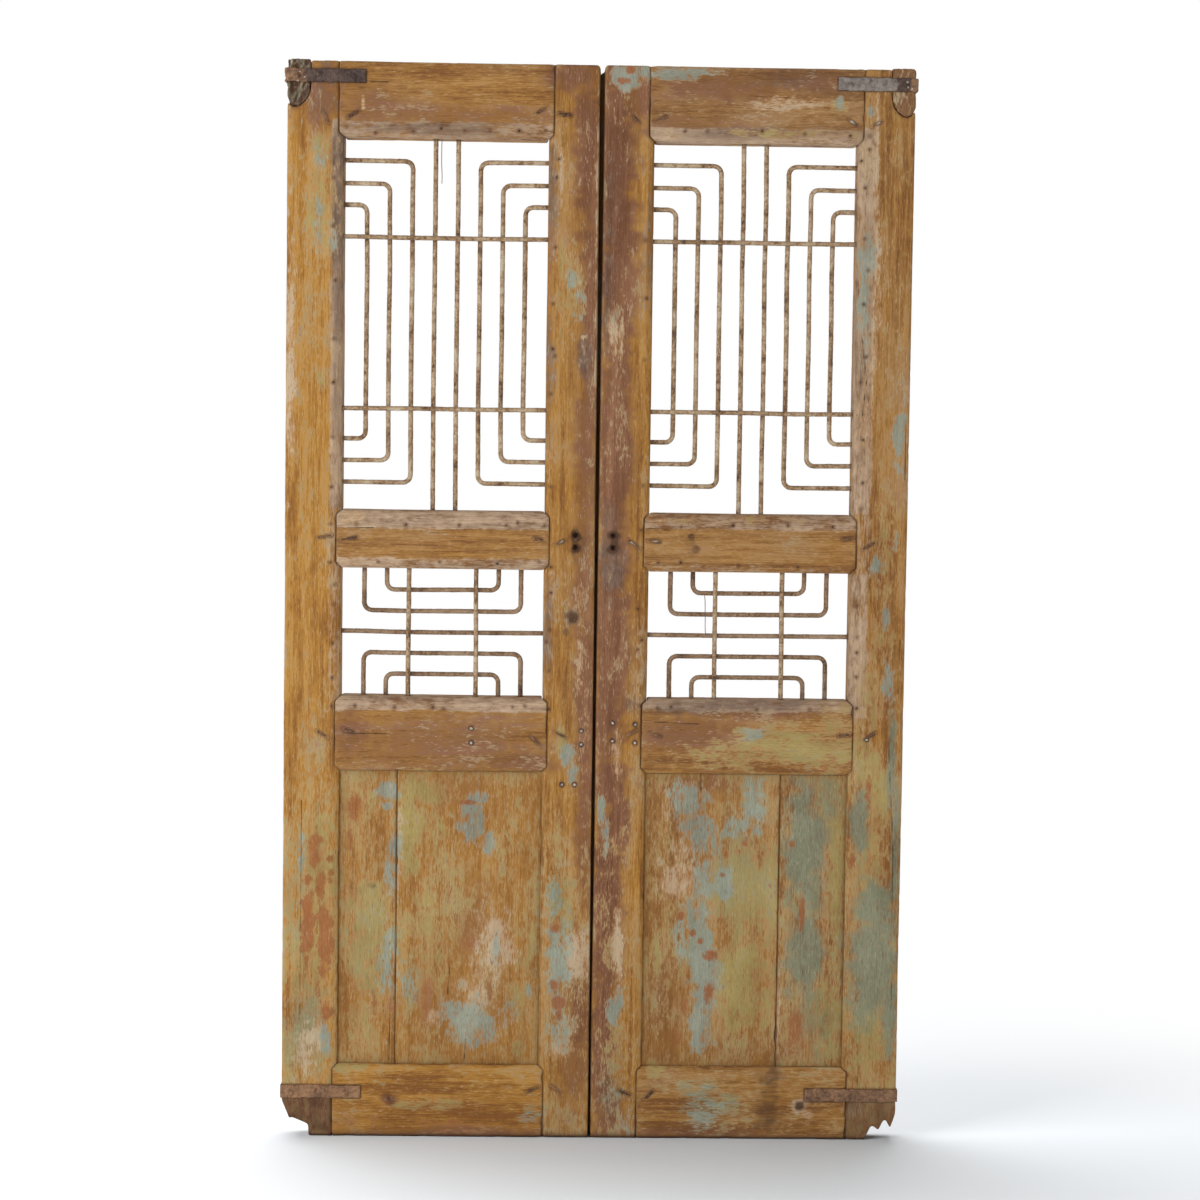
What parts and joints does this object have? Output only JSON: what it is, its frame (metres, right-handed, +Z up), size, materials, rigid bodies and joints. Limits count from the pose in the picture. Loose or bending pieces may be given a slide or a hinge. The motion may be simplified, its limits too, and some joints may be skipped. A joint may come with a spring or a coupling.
{
  "type": "pair of jali doors",
  "caption": "Pair of tall framed wooden doors with bent iron rod grilles over plank panels, each leaf swinging on pivot pins at its outer corners.",
  "frame": {"origin": "on the floor, midway across the closed pair and midway through its thickness", "axes": "+Z up, +X to the right seen from the front, the front faces -Y"},
  "size_m": [1.0824, 0.0576, 1.863],
  "materials": {
    "stained_wood": "worn ochre stain with bare grey wood",
    "plank_wood": "worn ochre stain with old paint",
    "graft_wood": "dark worn stain",
    "rod_iron": "rust and worn tan paint",
    "strap_iron": "dark rust",
    "pin_iron": "dark rust"
  },
  "bodies": {
    "pivots": {"left_upper_pivot_pin": "pin_iron", "left_lower_pivot_pin": "pin_iron", "right_upper_pivot_pin": "pin_iron", "right_lower_pivot_pin": "pin_iron"},
    "left_leaf": {"left_outer_stile": "stained_wood", "left_meeting_stile": "stained_wood", "left_top_rail": "stained_wood", "left_lock_rail": "stained_wood", "left_panel_rail": "stained_wood", "left_bottom_rail": "stained_wood", "left_narrow_plank": "plank_wood", "left_wide_plank": "plank_wood", "left_pivot_graft": "graft_wood", "left_top_strap": "strap_iron", "left_foot_strap": "strap_iron", "left_upper_outer_straight_rod": "rod_iron", "left_upper_inner_straight_rod": "rod_iron", "left_upper_top_bar": "rod_iron", "left_upper_low_bar": "rod_iron", "left_lower_outer_straight_rod": "rod_iron", "left_lower_inner_straight_rod": "rod_iron", "left_lower_bar": "rod_iron", "left_upper_outer_bent_rod_1": "rod_iron", "left_upper_outer_bent_rod_2": "rod_iron", "left_upper_outer_bent_rod_3": "rod_iron", "left_upper_inner_bent_rod_1": "rod_iron", "left_upper_inner_bent_rod_2": "rod_iron", "left_upper_inner_bent_rod_3": "rod_iron", "left_lower_hung_wide_loop": "rod_iron", "left_lower_hung_narrow_loop": "rod_iron", "left_lower_standing_wide_loop": "rod_iron", "left_lower_standing_narrow_loop": "rod_iron"},
    "right_leaf": {"right_outer_stile": "stained_wood", "right_meeting_stile": "stained_wood", "right_top_rail": "stained_wood", "right_lock_rail": "stained_wood", "right_panel_rail": "stained_wood", "right_bottom_rail": "stained_wood", "right_narrow_plank": "plank_wood", "right_wide_plank": "plank_wood", "right_pivot_graft": "graft_wood", "right_top_strap": "strap_iron", "right_foot_strap": "strap_iron", "right_upper_outer_straight_rod": "rod_iron", "right_upper_inner_straight_rod": "rod_iron", "right_upper_top_bar": "rod_iron", "right_upper_low_bar": "rod_iron", "right_lower_outer_straight_rod": "rod_iron", "right_lower_inner_straight_rod": "rod_iron", "right_lower_bar": "rod_iron", "right_upper_outer_bent_rod_1": "rod_iron", "right_upper_outer_bent_rod_2": "rod_iron", "right_upper_outer_bent_rod_3": "rod_iron", "right_upper_inner_bent_rod_1": "rod_iron", "right_upper_inner_bent_rod_2": "rod_iron", "right_upper_inner_bent_rod_3": "rod_iron", "right_lower_hung_wide_loop": "rod_iron", "right_lower_hung_narrow_loop": "rod_iron", "right_lower_standing_wide_loop": "rod_iron", "right_lower_standing_narrow_loop": "rod_iron"}
  },
  "joints": [
    {"name": "left_leaf_swing", "type": "hinge", "parent": "pivots", "child": "left_leaf", "pos_m": [-0.5179, 0, 0], "axis": [0, 0, -1], "range_deg": [0, 105]},
    {"name": "right_leaf_swing", "type": "hinge", "parent": "pivots", "child": "right_leaf", "pos_m": [0.5179, 0, 0], "axis": [0, 0, 1], "range_deg": [0, 105]}
  ]
}
